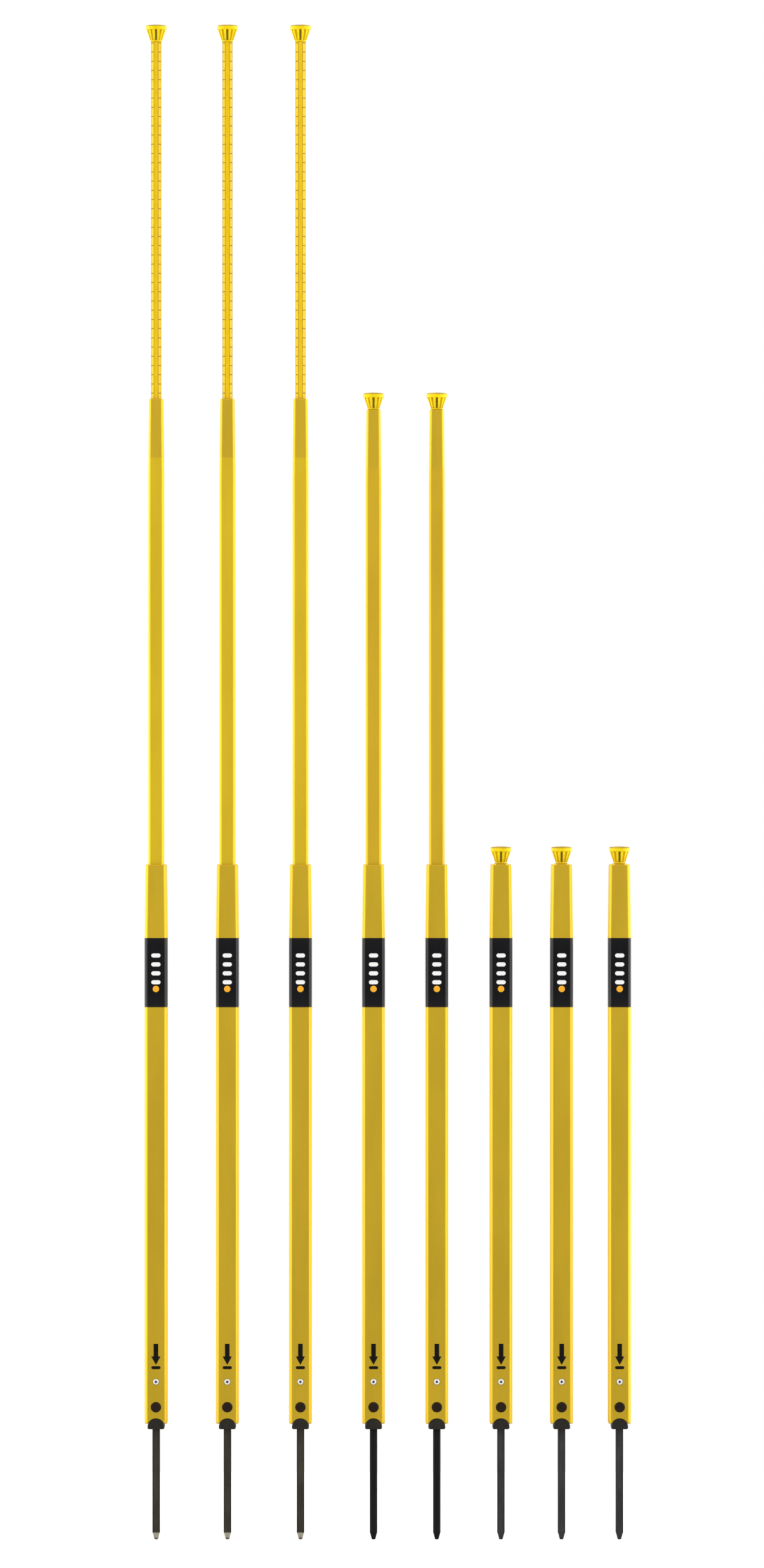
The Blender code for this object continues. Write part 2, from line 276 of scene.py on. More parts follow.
def loft(rings, hollow=False, sharp_angle=SHARP_ANGLE):
    """Closed mesh through the rings. A hollow loft joins its last ring to its first."""
    bm = bmesh.new()
    loops = [[bm.verts.new(point) for point in ring] for ring in rings]
    pairs = list(zip(loops, loops[1:] + loops[:1]))
    if not hollow:
        pairs.pop()
        bm.faces.new(loops[0])
        bm.faces.new(loops[-1])
    for low, high in pairs:
        count = len(low)
        for i in range(count):
            j = (i + 1) % count
            bm.faces.new((low[i], low[j], high[j], high[i]))
    bmesh.ops.recalc_face_normals(bm, faces=bm.faces[:])
    mesh = bpy.data.meshes.new("loft")
    bm.to_mesh(mesh)
    bm.free()
    smooth(mesh, sharp_angle)
    return mesh


def smooth(mesh, sharp_angle=SHARP_ANGLE):
    """Shade smooth, but leave the edges sharp that turn by more than an angle."""
    mesh.shade_smooth()
    mesh.set_sharp_from_angle(angle=sharp_angle)


def turned_to_front(mesh, z=0.0):
    """Turn a mesh built along +Z so that it points to the front, at height z."""
    mesh.transform(Matrix.Translation((0, 0, z)) @ Matrix.Rotation(math.radians(90), 4, "X"))
    return mesh


def combined(body_mesh, changes, bevel=0.0):
    """Mesh of a body after each (mesh, operation) Boolean, its sharp edges eased by bevel."""
    body = bpy.data.objects.new("body", body_mesh)
    bpy.context.scene.collection.objects.link(body)
    helpers = [body]
    for tool_mesh, operation in changes:
        tool = bpy.data.objects.new("tool", tool_mesh)
        bpy.context.scene.collection.objects.link(tool)
        helpers.append(tool)
        boolean = body.modifiers.new("shape", "BOOLEAN")
        boolean.operation = operation
        boolean.solver = "EXACT"
        boolean.object = tool
    if bevel:
        ease = body.modifiers.new("ease", "BEVEL")
        ease.width = bevel
        ease.segments = BEVEL_STEPS
        ease.limit_method = "ANGLE"
        ease.angle_limit = BEVEL_ANGLE
        body.modifiers.new("flats", "WEIGHTED_NORMAL")
    graph = bpy.context.evaluated_depsgraph_get()
    mesh = bpy.data.meshes.new_from_object(body.evaluated_get(graph))
    for obj in helpers:
        bpy.data.objects.remove(obj, do_unlink=True)
    smooth(mesh)
    return mesh


def flat_shape(outline, y, thickness):
    """Thin plate of an outline of (x, z) points, standing in front of the plane at y."""
    back = [(x, y, z) for x, z in outline]
    front = [(x, y - thickness, z) for x, z in outline]
    return loft([back, front])


def capsule(width, height, centre_z, steps=8):
    """Outline of a bar with round ends."""
    radius = height / 2
    straight = width / 2 - radius
    outline = []
    for side, start in ((1, -math.pi / 2), (-1, math.pi / 2)):
        for step in range(steps + 1):
            angle = start + math.pi * step / steps
            outline.append((side * straight + radius * math.cos(angle),
                            centre_z + radius * math.sin(angle)))
    return outline


def joined(meshes):
    """One mesh made of several separate ones."""
    bm = bmesh.new()
    for mesh in meshes:
        bm.from_mesh(mesh)
    result = bpy.data.meshes.new("joined")
    bm.to_mesh(result)
    bm.free()
    smooth(result)
    return result


# ---------------------------------------------------------------- materials

# What the yellow plastics' highlights are tinted with.
YELLOW_TINT = (1.0, 0.80, 0.25)


class Look:
    """A Principled material under construction, with short ways to add its nodes."""

    def __init__(self, name, colour, roughness, metallic=0.0, **sockets):
        self.material = bpy.data.materials.new(name)
        self.material.use_nodes = True
        self.tree = self.material.node_tree
        self.shader = self.tree.nodes["Principled BSDF"]
        self.shader.inputs["Base Color"].default_value = (*colour, 1.0)
        self.shader.inputs["Roughness"].default_value = roughness
        self.shader.inputs["Metallic"].default_value = metallic
        for socket, value in sockets.items():
            self.shader.inputs[socket.replace("_", " ")].default_value = value

    def add(self, kind, **inputs):
        """New node, with its sockets fed by name."""
        node = self.tree.nodes.new(kind)
        for name, value in inputs.items():
            self.feed(node.inputs[name.replace("_", " ")], value)
        return node

    def feed(self, socket, value):
        """Link a node's output to a socket, or set the socket to a constant."""
        if isinstance(value, bpy.types.NodeSocket):
            self.tree.links.new(value, socket)
        else:
            socket.default_value = value

    def place(self, stretch=(1, 1, 1)):
        """Object coordinates, with the noise drawn out along axes whose stretch is small."""
        coordinates = self.add("ShaderNodeTexCoord").outputs["Object"]
        return self.add("ShaderNodeMapping", Vector=coordinates, Scale=stretch).outputs["Vector"]

    def noise(self, scale, stretch=(1, 1, 1), detail=4.0, roughness=0.55):
        node = self.add("ShaderNodeTexNoise", Vector=self.place(stretch), Scale=scale,
                        Detail=detail, Roughness=roughness)
        return node.outputs["Fac"]

    def span(self, value, low, high, to_low=0.0, to_high=1.0):
        """Smooth step from to_low to to_high while the value goes from low to high."""
        node = self.add("ShaderNodeMapRange", Value=value, From_Min=low, From_Max=high,
                        To_Min=to_low, To_Max=to_high)
        node.interpolation_type = "SMOOTHSTEP"
        return node.outputs["Result"]

    def math(self, operation, first, second):
        node = self.add("ShaderNodeMath")
        node.operation = operation
        self.feed(node.inputs[0], first)
        self.feed(node.inputs[1], second)
        return node.outputs[0]

    def height(self):
        """Height above the ground, in metres."""
        split = self.add("ShaderNodeSeparateXYZ", Vector=self.place())
        return split.outputs["Z"]

    def mix(self, factor, first, second):
        """Blend of two colours, each a constant or a node's output."""
        node = self.add("ShaderNodeMix")
        node.data_type = "RGBA"
        self.feed(node.inputs["Factor"], factor)
        for socket, value in ((node.inputs[6], first), (node.inputs[7], second)):
            self.feed(socket, value if isinstance(value, bpy.types.NodeSocket) else (*value, 1.0))
        return node.outputs[2]

    def paint(self, colour):
        self.feed(self.shader.inputs["Base Color"], colour)

    def gloss(self, roughness):
        self.feed(self.shader.inputs["Roughness"], roughness)

    def bump(self, *layers):
        """Bumps from (height, strength, distance) layers, each on top of the last."""
        normal = None
        for height, strength, distance in layers:
            node = self.add("ShaderNodeBump", Height=height, Strength=strength, Distance=distance)
            if normal is not None:
                self.feed(node.inputs["Normal"], normal)
            normal = node.outputs["Normal"]
        self.feed(self.shader.inputs["Normal"], normal)


def shade(colour, factor):
    return tuple(min(1.0, channel * factor) for channel in colour)


def drawn_tube(name, colour, metallic, roughness):
    """Satin yellow tube: faint draw lines along it, soft mottling and a little handling wear."""
    look = Look(name, colour, roughness, metallic, Specular_IOR_Level=0.25,
                Specular_Tint=(*YELLOW_TINT, 1.0))
    lines = look.noise(900, (1, 1, 0.012), 3)
    mottle = look.noise(30, (1, 1, 0.25), 4)
    wear = look.span(look.noise(700, (1, 1, 0.25), 6, 0.7), 0.66, 0.78)
    base = look.mix(look.span(mottle, 0.3, 0.7), shade(colour, 0.97), shade(colour, 1.03))
    base = look.mix(look.math("MULTIPLY", look.span(lines, 0.4, 0.7), 0.2), base,
                    shade(colour, 0.90))
    look.paint(look.mix(look.math("MULTIPLY", wear, 0.15), base, shade(colour, 0.75)))
    look.gloss(look.span(mottle, 0.3, 0.7, roughness - 0.02, roughness + 0.03))
    look.bump((lines, 0.04, 0.0001), (look.noise(1500, detail=2), 0.03, 0.0001))
    return look.material


def moulded(name, colour, roughness, grain=0.12, contrast=0.08, tint=(1.0, 1.0, 1.0),
            specular=0.35):
    """Moulded plastic: fine grain, slight colour drift and uneven gloss."""
    look = Look(name, colour, roughness, Specular_IOR_Level=specular,
                Specular_Tint=(*tint, 1.0))
    drift = look.noise(120, detail=4)
    look.paint(look.mix(look.span(drift, 0.3, 0.7), shade(colour, 1 - contrast),
                        shade(colour, 1 + contrast)))
    look.gloss(look.span(look.noise(300), 0.3, 0.7, roughness - 0.05, roughness + 0.06))
    look.bump((look.noise(2600, detail=3), grain, 0.0001))
    return look.material


def label_film():
    """Glossy black film with a trace of dust and fine handling marks."""
    colour = (0.004, 0.004, 0.005)
    look = Look("label_film", colour, 0.16, Specular_IOR_Level=0.40)
    dust = look.span(look.noise(900, detail=6), 0.62, 0.80)
    look.paint(look.mix(look.math("MULTIPLY", dust, 0.25), colour, (0.05, 0.05, 0.05)))
    look.gloss(look.span(look.noise(180, (1, 1, 0.2)), 0.3, 0.7, 0.13, 0.20))
    look.bump((look.noise(160, (1, 1, 0.3)), 0.03, 0.0002))
    return look.material


def ink(name, colour, roughness=0.35):
    """Printed ink, slightly broken up."""
    look = Look(name, colour, roughness, Specular_IOR_Level=0.15)
    look.paint(look.mix(look.span(look.noise(1400, detail=5), 0.35, 0.75), colour,
                        shade(colour, 0.88)))
    look.gloss(look.span(look.noise(500), 0.3, 0.7, roughness - 0.05, roughness + 0.08))
    return look.material


def screw_steel():
    """Bright zinc-plated steel with fine turning marks."""
    look = Look("screw_steel", (0.96, 0.95, 0.92), 0.30, 0.20)
    look.gloss(look.span(look.noise(700), 0.3, 0.7, 0.24, 0.38))
    look.bump((look.noise(2200, (1, 0.1, 1)), 0.05, 0.0001))
    return look.material


def coated_steel(name, colour, wear, shoulder_z=None):
    """Dark coating over steel, rubbed along the bar, and bare and soiled below shoulder_z."""
    steel = (0.42, 0.39, 0.31)
    look = Look(name, colour, 0.45, Specular_IOR_Level=0.2)
    streaks = look.noise(420, (1, 1, 0.05), 6, 0.65)
    blotches = look.noise(90, (1, 1, 0.4), 5)
    worn = look.math("MULTIPLY", look.span(streaks, 0.50, 0.72), wear)
    base = look.mix(look.span(blotches, 0.35, 0.7), shade(colour, 0.8), shade(colour, 1.2))
    base = look.mix(worn, base, shade(colour, 2.2))
    if shoulder_z is not None:
        # The bare metal starts raggedly at the shoulder, and soil darkens it near the point.
        ragged = look.math("MULTIPLY", look.math("SUBTRACT", look.noise(900), 0.5), 0.0012)
        edge = look.math("ADD", look.height(), ragged)
        bare = look.span(edge, shoulder_z + 0.0004, shoulder_z - 0.0002)
        soil = look.span(look.height(), shoulder_z - 0.0042, shoulder_z - 0.0070, 0.0, 0.75)
        metal = look.mix(look.span(look.noise(1200), 0.35, 0.65), steel, shade(steel, 1.6))
        metal = look.mix(soil, metal, (0.07, 0.045, 0.03))
        base = look.mix(bare, base, metal)
        look.feed(look.shader.inputs["Metallic"], look.math("MULTIPLY", bare, 0.7))
    look.paint(base)
    look.gloss(look.span(streaks, 0.3, 0.75, 0.55, 0.38))
    look.bump((streaks, 0.15, 0.0002), (look.noise(1800, detail=3), 0.08, 0.0001))
    return look.material


def make_materials(shoulder_z):
    lower, middle = (0.77, 0.51, 0.034), (0.82, 0.56, 0.028)
    rod, cap = (0.74, 0.485, 0.005), (0.84, 0.62, 0.004)
    return {
        "lower": drawn_tube("lower_yellow", lower, 0.50, 0.30),
        "middle": drawn_tube("middle_yellow", middle, 0.40, 0.30),
        # Painted shade: a darker copy of the middle tube's yellow, taken by poles 4 to 8.
        "shaded_middle": drawn_tube("shaded_middle_yellow", (0.75, 0.485, 0.030), 0.40, 0.30),
        "rod": moulded("rod_yellow", rod, 0.30, 0.04, 0.03),
        # The notch and crease looks are darker copies of the rod's yellow: painted shade.
        "notch": moulded("notch_shadow", shade(rod, 0.36), 0.60, 0.04, 0.05),
        "crease": moulded("crease_shadow", shade(rod, 0.66), 0.50, 0.04, 0.05),
        "cap": moulded("cap_yellow", cap, 0.34, tint=YELLOW_TINT),
        # The flute looks are painted shade: a darker copy of the cap's yellow, and a much darker
        # one for the front and back flutes.
        "flute": moulded("flute_shadow", shade(cap, 0.90), 0.42, tint=YELLOW_TINT),
        "deep_flute": moulded("shaded_flute_shadow", (0.20, 0.14, 0.010), 0.60),
        # The cap's top takes a darker brownish yellow.
        "scuffed": moulded("dark_top_yellow", (0.46, 0.30, 0.010), 0.55, 0.3, 0.2),
        "plug": moulded("plug_black", (0.015, 0.012, 0.008), 0.42, 0.20, 0.20),
        "button": moulded("button_black", (0.018, 0.009, 0.004), 0.40, 0.16, 0.20, specular=0.20),
        "label": label_film(),
        "white_ink": ink("white_ink", (0.86, 0.86, 0.84)),
        "orange_ink": ink("orange_ink", (0.90, 0.42, 0.03)),
        "black_ink": ink("black_ink", (0.003, 0.003, 0.002), 0.50),
        "screw": screw_steel(),
        # Painted shade on the screw's washer and in its cross recess.
        "screw_shadow": moulded("screw_shadow", (0.030, 0.022, 0.015), 0.60),
        # Painted shade: a darker black on the spike's rounded edges.
        "spike_edge": moulded("spike_edge_black", (0.012, 0.012, 0.011), 0.60, 0.20, 0.20),
        "worn_steel": coated_steel("worn_spike", (0.042, 0.037, 0.025), 0.30, shoulder_z),
        "black_steel": coated_steel("black_spike", (0.005, 0.005, 0.005), 0.18),
        "grey_steel": coated_steel("grey_spike", (0.038, 0.038, 0.039), 0.25),
    }


# ---------------------------------------------------------------- shapes of one pole

def rounded_mouth(width, radius, top_z, wall, recess, opening, opening_radius):
    """Rings over a tube's mouth: round outer edge, narrow rim, then the lip sunk inside it."""
    rings = []
    inner, inner_radius = width - 2 * wall, radius - wall
    for inset, drop in rounding(MOUTH_ROUND, 4):
        rings.append(rounded_square(width - 2 * inset, radius - inset, top_z - drop))
    rings.append(rounded_square(inner + EDGE, inner_radius + EDGE / 2, top_z))
    rings.append(rounded_square(inner, inner_radius, top_z - EDGE))
    rings.append(rounded_square(inner, inner_radius, top_z - recess))
    rings.append(rounded_square(opening, opening_radius, top_z - recess))
    return rings


def lower_tube_mesh(foot_z, top_z, width, button_z):
    """Square tube with a neck, a lip in its mouth, a button hole and an arched foot."""
    neck_z = top_z - LOWER_NECK_LENGTH
    lip_z = top_z - LOWER_LIP
    bore = width - 2 * LOWER_WALL
    neck_bore = LOWER_NECK_WIDTH - 2 * LOWER_WALL
    inner_radius = LOWER_RADIUS - LOWER_WALL
    rings = []
    for inset, drop in reversed(rounding(FOOT_ROUND, 4)):
        rings.append(rounded_square(width - 2 * inset, LOWER_RADIUS - inset, foot_z + drop))
    rings.append(rounded_square(width, LOWER_RADIUS, neck_z))
    rings += rounded_mouth(LOWER_NECK_WIDTH, LOWER_RADIUS, top_z, LOWER_MOUTH_WALL,
                           LOWER_MOUTH_RECESS, LOWER_MOUTH, MIDDLE_RADIUS + GAP)
    rings += [
        rounded_square(LOWER_MOUTH, MIDDLE_RADIUS + GAP, lip_z),
        rounded_square(neck_bore, inner_radius, lip_z),
        rounded_square(bore, inner_radius, neck_z),
        rounded_square(bore, inner_radius, foot_z),
    ]
    arch = turned_to_front(loft([
        circle(DOME_RADIUS + GAP, -width, 2 * DOME_STEPS),
        circle(DOME_RADIUS + GAP, width, 2 * DOME_STEPS),
    ]), DOME_TOP_Z - DOME_RADIUS)
    hole = turned_to_front(loft([
        circle(BUTTON_RADIUS + GAP, bore / 4),
        circle(BUTTON_RADIUS + GAP, width / 2 - EDGE),
        circle(BUTTON_RADIUS + GAP + 2 * EDGE, width / 2 + EDGE),
    ]), button_z)
    return combined(loft(rings, hollow=True), [(arch, "DIFFERENCE"), (hole, "DIFFERENCE")],
                    bevel=EDGE)


def middle_tube_mesh(foot_z, top_z, sleeve_width):
    """Square tube with a neck, a lip in its mouth and a guide sleeve at its foot."""
    neck_z = top_z - MIDDLE_NECK_LENGTH
    lip_z = top_z - MIDDLE_LIP
    sleeve_z = foot_z + MIDDLE_SLEEVE_HEIGHT
    sleeve_radius = MIDDLE_RADIUS + (sleeve_width - MIDDLE_WIDTH) / 2
    dull_width = between((MIDDLE_NECK_WIDTH, MIDDLE_WIDTH),
                         MIDDLE_DULL_LENGTH / MIDDLE_NECK_LENGTH)
    bore = MIDDLE_WIDTH - 2 * MIDDLE_WALL
    neck_bore = MIDDLE_NECK_WIDTH - 2 * MIDDLE_WALL
    inner_radius = MIDDLE_RADIUS - MIDDLE_WALL
    rings = [
        rounded_square(sleeve_width - 2 * EDGE, sleeve_radius - EDGE, foot_z),
        rounded_square(sleeve_width, sleeve_radius, foot_z + EDGE),
        rounded_square(sleeve_width, sleeve_radius, sleeve_z - EDGE),
        rounded_square(sleeve_width - 2 * EDGE, sleeve_radius - EDGE, sleeve_z),
        rounded_square(MIDDLE_WIDTH, MIDDLE_RADIUS, sleeve_z),
        rounded_square(MIDDLE_WIDTH, MIDDLE_RADIUS, neck_z),
        rounded_square(dull_width, MIDDLE_RADIUS, top_z - MIDDLE_DULL_LENGTH),
    ]
    rings += rounded_mouth(MIDDLE_NECK_WIDTH, MIDDLE_RADIUS, top_z, MIDDLE_MOUTH_WALL,
                           MIDDLE_MOUTH_RECESS, MIDDLE_MOUTH, MIDDLE_RADIUS - EDGE)
    rings += [
        rounded_square(MIDDLE_MOUTH, MIDDLE_RADIUS - EDGE, lip_z),
        rounded_square(neck_bore, inner_radius, lip_z),
        rounded_square(bore, inner_radius, neck_z),
        rounded_square(bore, inner_radius, foot_z),
    ]
    return loft(rings, hollow=True)


def octagon(width, z, notch=0.0):
    """Ring of an octagon with a fine crease at each corner. A notch sinks its diagonal faces."""
    reach = width / 2
    half_side = reach * math.tan(math.pi / 8)
    ring = []
    for face in range(8):
        sunk = notch if face % 2 else 0.0
        turn = Matrix.Rotation(math.pi / 4 * face, 2)
        for along in (ROD_EDGE - half_side, half_side - ROD_EDGE):
            x, y = turn @ Vector((reach - sunk, along))
            ring.append((x, y, z))
        corner = Matrix.Rotation(math.pi / 4 * face + math.pi / 8, 2)
        x, y = corner @ Vector((reach / math.cos(math.pi / 8) - ROD_CREASE, 0))
        ring.append((x, y, z))
    return ring


def upper_rod_mesh(foot_z, top_z, sleeve_width):
    """Octagonal tube with click notches across its diagonal faces and a sleeve at its foot."""
    sleeve_z = foot_z + ROD_SLEEVE_HEIGHT
    bore = ROD_WIDTH - 2 * ROD_WALL
    half = NOTCH_HEIGHT / 2
    rings = [
        octagon(sleeve_width, foot_z),
        octagon(sleeve_width, sleeve_z),
        octagon(ROD_WIDTH, sleeve_z),
    ]
    count = int((top_z - FIRST_NOTCH - sleeve_z) / NOTCH_PITCH)
    for number in range(count, -1, -1):
        z = top_z - FIRST_NOTCH - number * NOTCH_PITCH
        rings += [
            octagon(ROD_WIDTH, z - half),
            octagon(ROD_WIDTH, z - NOTCH_FLOOR * half, NOTCH_DEPTH),
            octagon(ROD_WIDTH, z + NOTCH_FLOOR * half, NOTCH_DEPTH),
            octagon(ROD_WIDTH, z + half),
        ]
    rings += [
        octagon(ROD_WIDTH, top_z),
        octagon(bore, top_z),
        octagon(bore, foot_z),
    ]
    return loft(rings, hollow=True, sharp_angle=ROD_SHARP_ANGLE)


def fluted(rib_radius, flute_radius, z):
    """Ring of the cap's section: round-edged ribs between flutes of one width.

    Equal radii give a plain circle with the same number of points.
    """
    period = 2 * math.pi / CAP_FLUTES
    lip = CAP_FLUTE_WIDTH / 2 / rib_radius
    floor = min(lip, CAP_FLUTE_FLOOR * CAP_FLUTE_WIDTH / 2 / flute_radius)
    drop = CAP_LIP_ROUND if rib_radius > flute_radius else 0.0
    rib = [(lip + CAP_LIP_ROUND / rib_radius * (1 - math.cos(angle)),
            rib_radius - drop * (1 - math.sin(angle))) for angle in quarter(3)]
    ring = []
    for flute in range(CAP_FLUTES):
        centre = period * flute
        points = [(-floor, flute_radius), (0, flute_radius), (floor, flute_radius)]
        points += rib
        points.append((period / 2, rib_radius))
        points += [(period - angle, radius) for angle, radius in reversed(rib)]
        for angle, radius in points:
            turn = centre + angle
            ring.append((radius * math.cos(turn), radius * math.sin(turn), z))
    return ring


def end_cap_mesh(under_z, top_z, spigot_z):
    """Flared cap: spigot, collar, fluted cone, and a round-edged rim with a crowned top."""
    rim_top = top_z - CAP_CROWN
    rim_bottom = rim_top - CAP_RIM_HEIGHT
    collar_z = under_z + CAP_COLLAR_HEIGHT

    def plain(radius, z):
        """Round ring to loft on from a fluted one: the rim's ring, scaled."""
        scale = radius / CAP_RIM_RADIUS
        ring = fluted(CAP_RIM_RADIUS, CAP_RIM_RADIUS, z)
        return [(scale * x, scale * y, z) for x, y, z in ring]

    rings = [
        plain(CAP_SPIGOT_RADIUS, spigot_z),
        plain(CAP_SPIGOT_RADIUS, under_z),
        plain(CAP_COLLAR_RADIUS - EDGE, under_z),
        plain(CAP_COLLAR_RADIUS, under_z + EDGE),
        plain(CAP_COLLAR_RADIUS, collar_z - EDGE),
        fluted(CAP_RIB_RADII[0], CAP_FLUTE_RADII[0], collar_z),
    ]
    for step in range(1, CAP_CONE_STEPS + 1):
        share = step / CAP_CONE_STEPS
        rings.append(fluted(between(CAP_RIB_RADII, share), between(CAP_FLUTE_RADII, share),
                            between((collar_z, rim_bottom), share)))
    for inset, drop in reversed(rounding(CAP_LOW_ROUND, 4)):
        rings.append(plain(CAP_RIM_RADIUS - inset, rim_bottom + drop))
    for inset, drop in rounding(CAP_HIGH_ROUND, 6):
        rings.append(plain(CAP_RIM_RADIUS - inset, rim_top - drop))
    flat = CAP_RIM_RADIUS - CAP_HIGH_ROUND
    for share in (0.75, 0.5, 0.25, 0.05):
        rings.append(plain(flat * share, rim_top + CAP_CROWN * (1 - share * share)))
    return loft(rings)


def knuckle_ring(inset, y):
    """Ring of the knuckle's front outline: a half-round top and a flat foot with round corners."""
    radius = DOME_RADIUS - inset
    centre_z = DOME_TOP_Z - DOME_RADIUS
    ring = []
    for step in range(DOME_STEPS + 1):
        angle = math.pi * step / DOME_STEPS
        ring.append((radius * math.cos(angle), y, centre_z + radius * math.sin(angle)))
    corner = KNUCKLE_CORNER - inset
    for side, start in ((-1, math.pi), (1, 1.5 * math.pi)):
        for step in range(KNUCKLE_CORNER_STEPS + 1):
            angle = start + math.pi / 2 * step / KNUCKLE_CORNER_STEPS
            x = side * (radius - corner) + corner * math.cos(angle)
            ring.append((x, y, KNUCKLE_CORNER + corner * math.sin(angle)))
    return ring


def base_plug_mesh(tube_foot_z, block_width, spike_top_z, button_z, button_back):
    """Round-edged knuckle with the block above it, the spike's socket and the button's pocket."""
    half = KNUCKLE_DEPTH / 2
    rings = []
    for inset, drop in reversed(rounding(KNUCKLE_ROUND, 5)):
        rings.append(knuckle_ring(inset, drop - half))
    for inset, drop in rounding(KNUCKLE_ROUND, 5):
        rings.append(knuckle_ring(inset, half - drop))
    block = loft([
        rounded_square(block_width, LOWER_RADIUS - LOWER_WALL, tube_foot_z + EDGE),
        rounded_square(block_width, LOWER_RADIUS - LOWER_WALL, BLOCK_TOP_Z),
    ])
    socket = loft([
        rounded_square(SPIKE_WIDTH + 2 * GAP, SPIKE_RADIUS + GAP, -SPIKE_WIDTH, SPIKE_STEPS),
        rounded_square(SPIKE_WIDTH + 2 * GAP, SPIKE_RADIUS + GAP, spike_top_z + GAP,
                       SPIKE_STEPS),
    ])
    pocket = turned_to_front(loft([
        circle(BUTTON_FLANGE_RADIUS + GAP, button_back - POCKET_ROOM),
        circle(BUTTON_FLANGE_RADIUS + GAP, POCKET_FRONT),
    ]), button_z)
    return combined(loft(rings), [
        (block, "UNION"), (socket, "DIFFERENCE"), (pocket, "DIFFERENCE"),
    ])


def ground_spike_mesh(top_z, tip_z):
    """Square bar with round edges, an eased shoulder and a blunt, round-ended point."""
    shoulder_z = tip_z + SPIKE_SHOULDER
    sections = [(SPIKE_NOSE_SHARE * SPIKE_TIP_WIDTH, SPIKE_NOSE_ROUND * SPIKE_TIP_WIDTH, tip_z)]
    for angle in quarter(4)[1:]:
        width = SPIKE_TIP_WIDTH * between((SPIKE_NOSE_SHARE, 1.0), math.sin(angle))
        z = tip_z + SPIKE_NOSE * (1 - math.cos(angle))
        sections.append((width, SPIKE_TIP_ROUND * width, z))
    sections += [
        (SPIKE_WIDTH - SPIKE_SHOULDER_EASE, SPIKE_SHOULDER_RADIUS,
         shoulder_z - SPIKE_SHOULDER_DROP),
        (SPIKE_WIDTH, SPIKE_RADIUS, shoulder_z),
        (SPIKE_WIDTH, SPIKE_RADIUS, top_z - EDGE),
        (SPIKE_WIDTH - 2 * EDGE, SPIKE_RADIUS - EDGE, top_z),
    ]
    return loft([rounded_square(*section, SPIKE_STEPS) for section in sections])


def release_button_mesh(z, back, face):
    """Round button with a hidden flange, a rounded rim and a slightly crowned face."""
    rings = [
        circle(BUTTON_FLANGE_RADIUS, back),
        circle(BUTTON_FLANGE_RADIUS, back + BUTTON_FLANGE),
        circle(BUTTON_RADIUS, back + BUTTON_FLANGE),
    ]
    side_top = face - BUTTON_CROWN
    for inset, drop in rounding(BUTTON_RIM, 5):
        rings.append(circle(BUTTON_RADIUS - inset, side_top - drop))
    flat = BUTTON_RADIUS - BUTTON_RIM
    for share in (0.7, 0.4, 0.1):
        rings.append(circle(share * flat, face - BUTTON_CROWN * share * share))
    return turned_to_front(loft(rings), z)


def screw_mesh(wall):
    """Pan-head screw with a cross recess, on a thin washer against the wall's outer face."""
    rings = [
        circle(SCREW_WASHER_RADIUS, wall - SCREW_HEAD_FOOT),
        circle(SCREW_WASHER_RADIUS, wall + SCREW_WASHER_TOP),
        circle(SCREW_RADIUS, wall + SCREW_WASHER_TOP),
    ]
    for angle in quarter(6):
        radius = SCREW_RADIUS * (1 - SCREW_DOME * (1 - math.cos(angle)))
        height = between((SCREW_HEAD_FOOT, SCREW_HEIGHT), math.sin(angle))
        rings.append(circle(radius, wall + height))
    top = wall + SCREW_HEIGHT
    cuts = []
    for sides in (SCREW_CROSS, SCREW_CROSS[::-1]):
        slot = loft([
            rectangle(sides, SCREW_CROSS_TAPER, top - SCREW_RECESS),
            rectangle(sides, 1.0, top + CUT_CLEARANCE),
        ])
        cuts.append((slot, "DIFFERENCE"))
    return turned_to_front(combined(loft(rings), cuts), SCREW_Z)


def label_mesh(width, low_z, high_z):
    """Thin sleeve around the tube, with eased edges."""
    proud = LABEL_PROUD
    outer, radius = width + 2 * proud, LOWER_RADIUS + proud
    inner, inner_radius = width + 2 * LABEL_CLEARANCE, LOWER_RADIUS
    return loft([
        rounded_square(inner, inner_radius, low_z),
        rounded_square(outer - proud, radius - proud / 2, low_z),
        rounded_square(outer, radius, low_z + proud),
        rounded_square(outer, radius, high_z - proud),
        rounded_square(outer - proud, radius - proud / 2, high_z),
        rounded_square(inner, inner_radius, high_z),
    ], hollow=True)


def bars_mesh(front, label_top):
    """Ladder of equal white bars."""
    heights = [label_top - BARS_BELOW_TOP - index * BAR_PITCH for index in range(BAR_COUNT)]
    return joined([flat_shape(capsule(BAR_WIDTH, BAR_HEIGHT, z), front, MARK_THICKNESS)
                   for z in heights])


def dot_mesh(front, label_top):
    """Round dot: a capsule whose straight part is too short to see."""
    straight = 1e-5
    outline = capsule(2 * DOT_RADIUS + straight, 2 * DOT_RADIUS, label_top - DOT_BELOW_TOP, 16)
    return flat_shape(outline, front, MARK_THICKNESS)


def arrow_mesh(front):
    """Arrow pointing at the ground, over a short ground line."""
    tip_z = ARROW_BOTTOM_Z + GROUND_LINE_HEIGHT + GROUND_LINE_GAP
    neck_z = tip_z + ARROW_HEAD
    half, shaft = ARROW_WIDTH / 2, ARROW_SHAFT_WIDTH / 2
    arrow = [(-shaft, ARROW_TOP_Z), (-shaft, neck_z), (-half, neck_z), (0, tip_z),
             (half, neck_z), (shaft, neck_z), (shaft, ARROW_TOP_Z)]
    line = capsule(ARROW_WIDTH, GROUND_LINE_HEIGHT, ARROW_BOTTOM_Z + GROUND_LINE_HEIGHT / 2)
    return joined([flat_shape(arrow, front, MARK_THICKNESS),
                   flat_shape(line, front, MARK_THICKNESS)])


# ---------------------------------------------------------------- which look each face takes

def tinted(mesh, look_of):
    """Give each face the look, out of its piece's list, that look_of(centre) numbers."""
    for face in mesh.polygons:
        face.material_index = look_of(face.center)
    return mesh


def off_corner(point, sides):
    """Angle about the Z axis between a point and the nearest corner of a polygon section."""
    turn = 2 * math.pi / sides
    return abs(math.atan2(point.y, point.x) % turn - turn / 2)


def above(level):
    """Look 1 above a level, look 0 under it."""
    def look_of(centre):
        return int(centre.z > level)
    return look_of


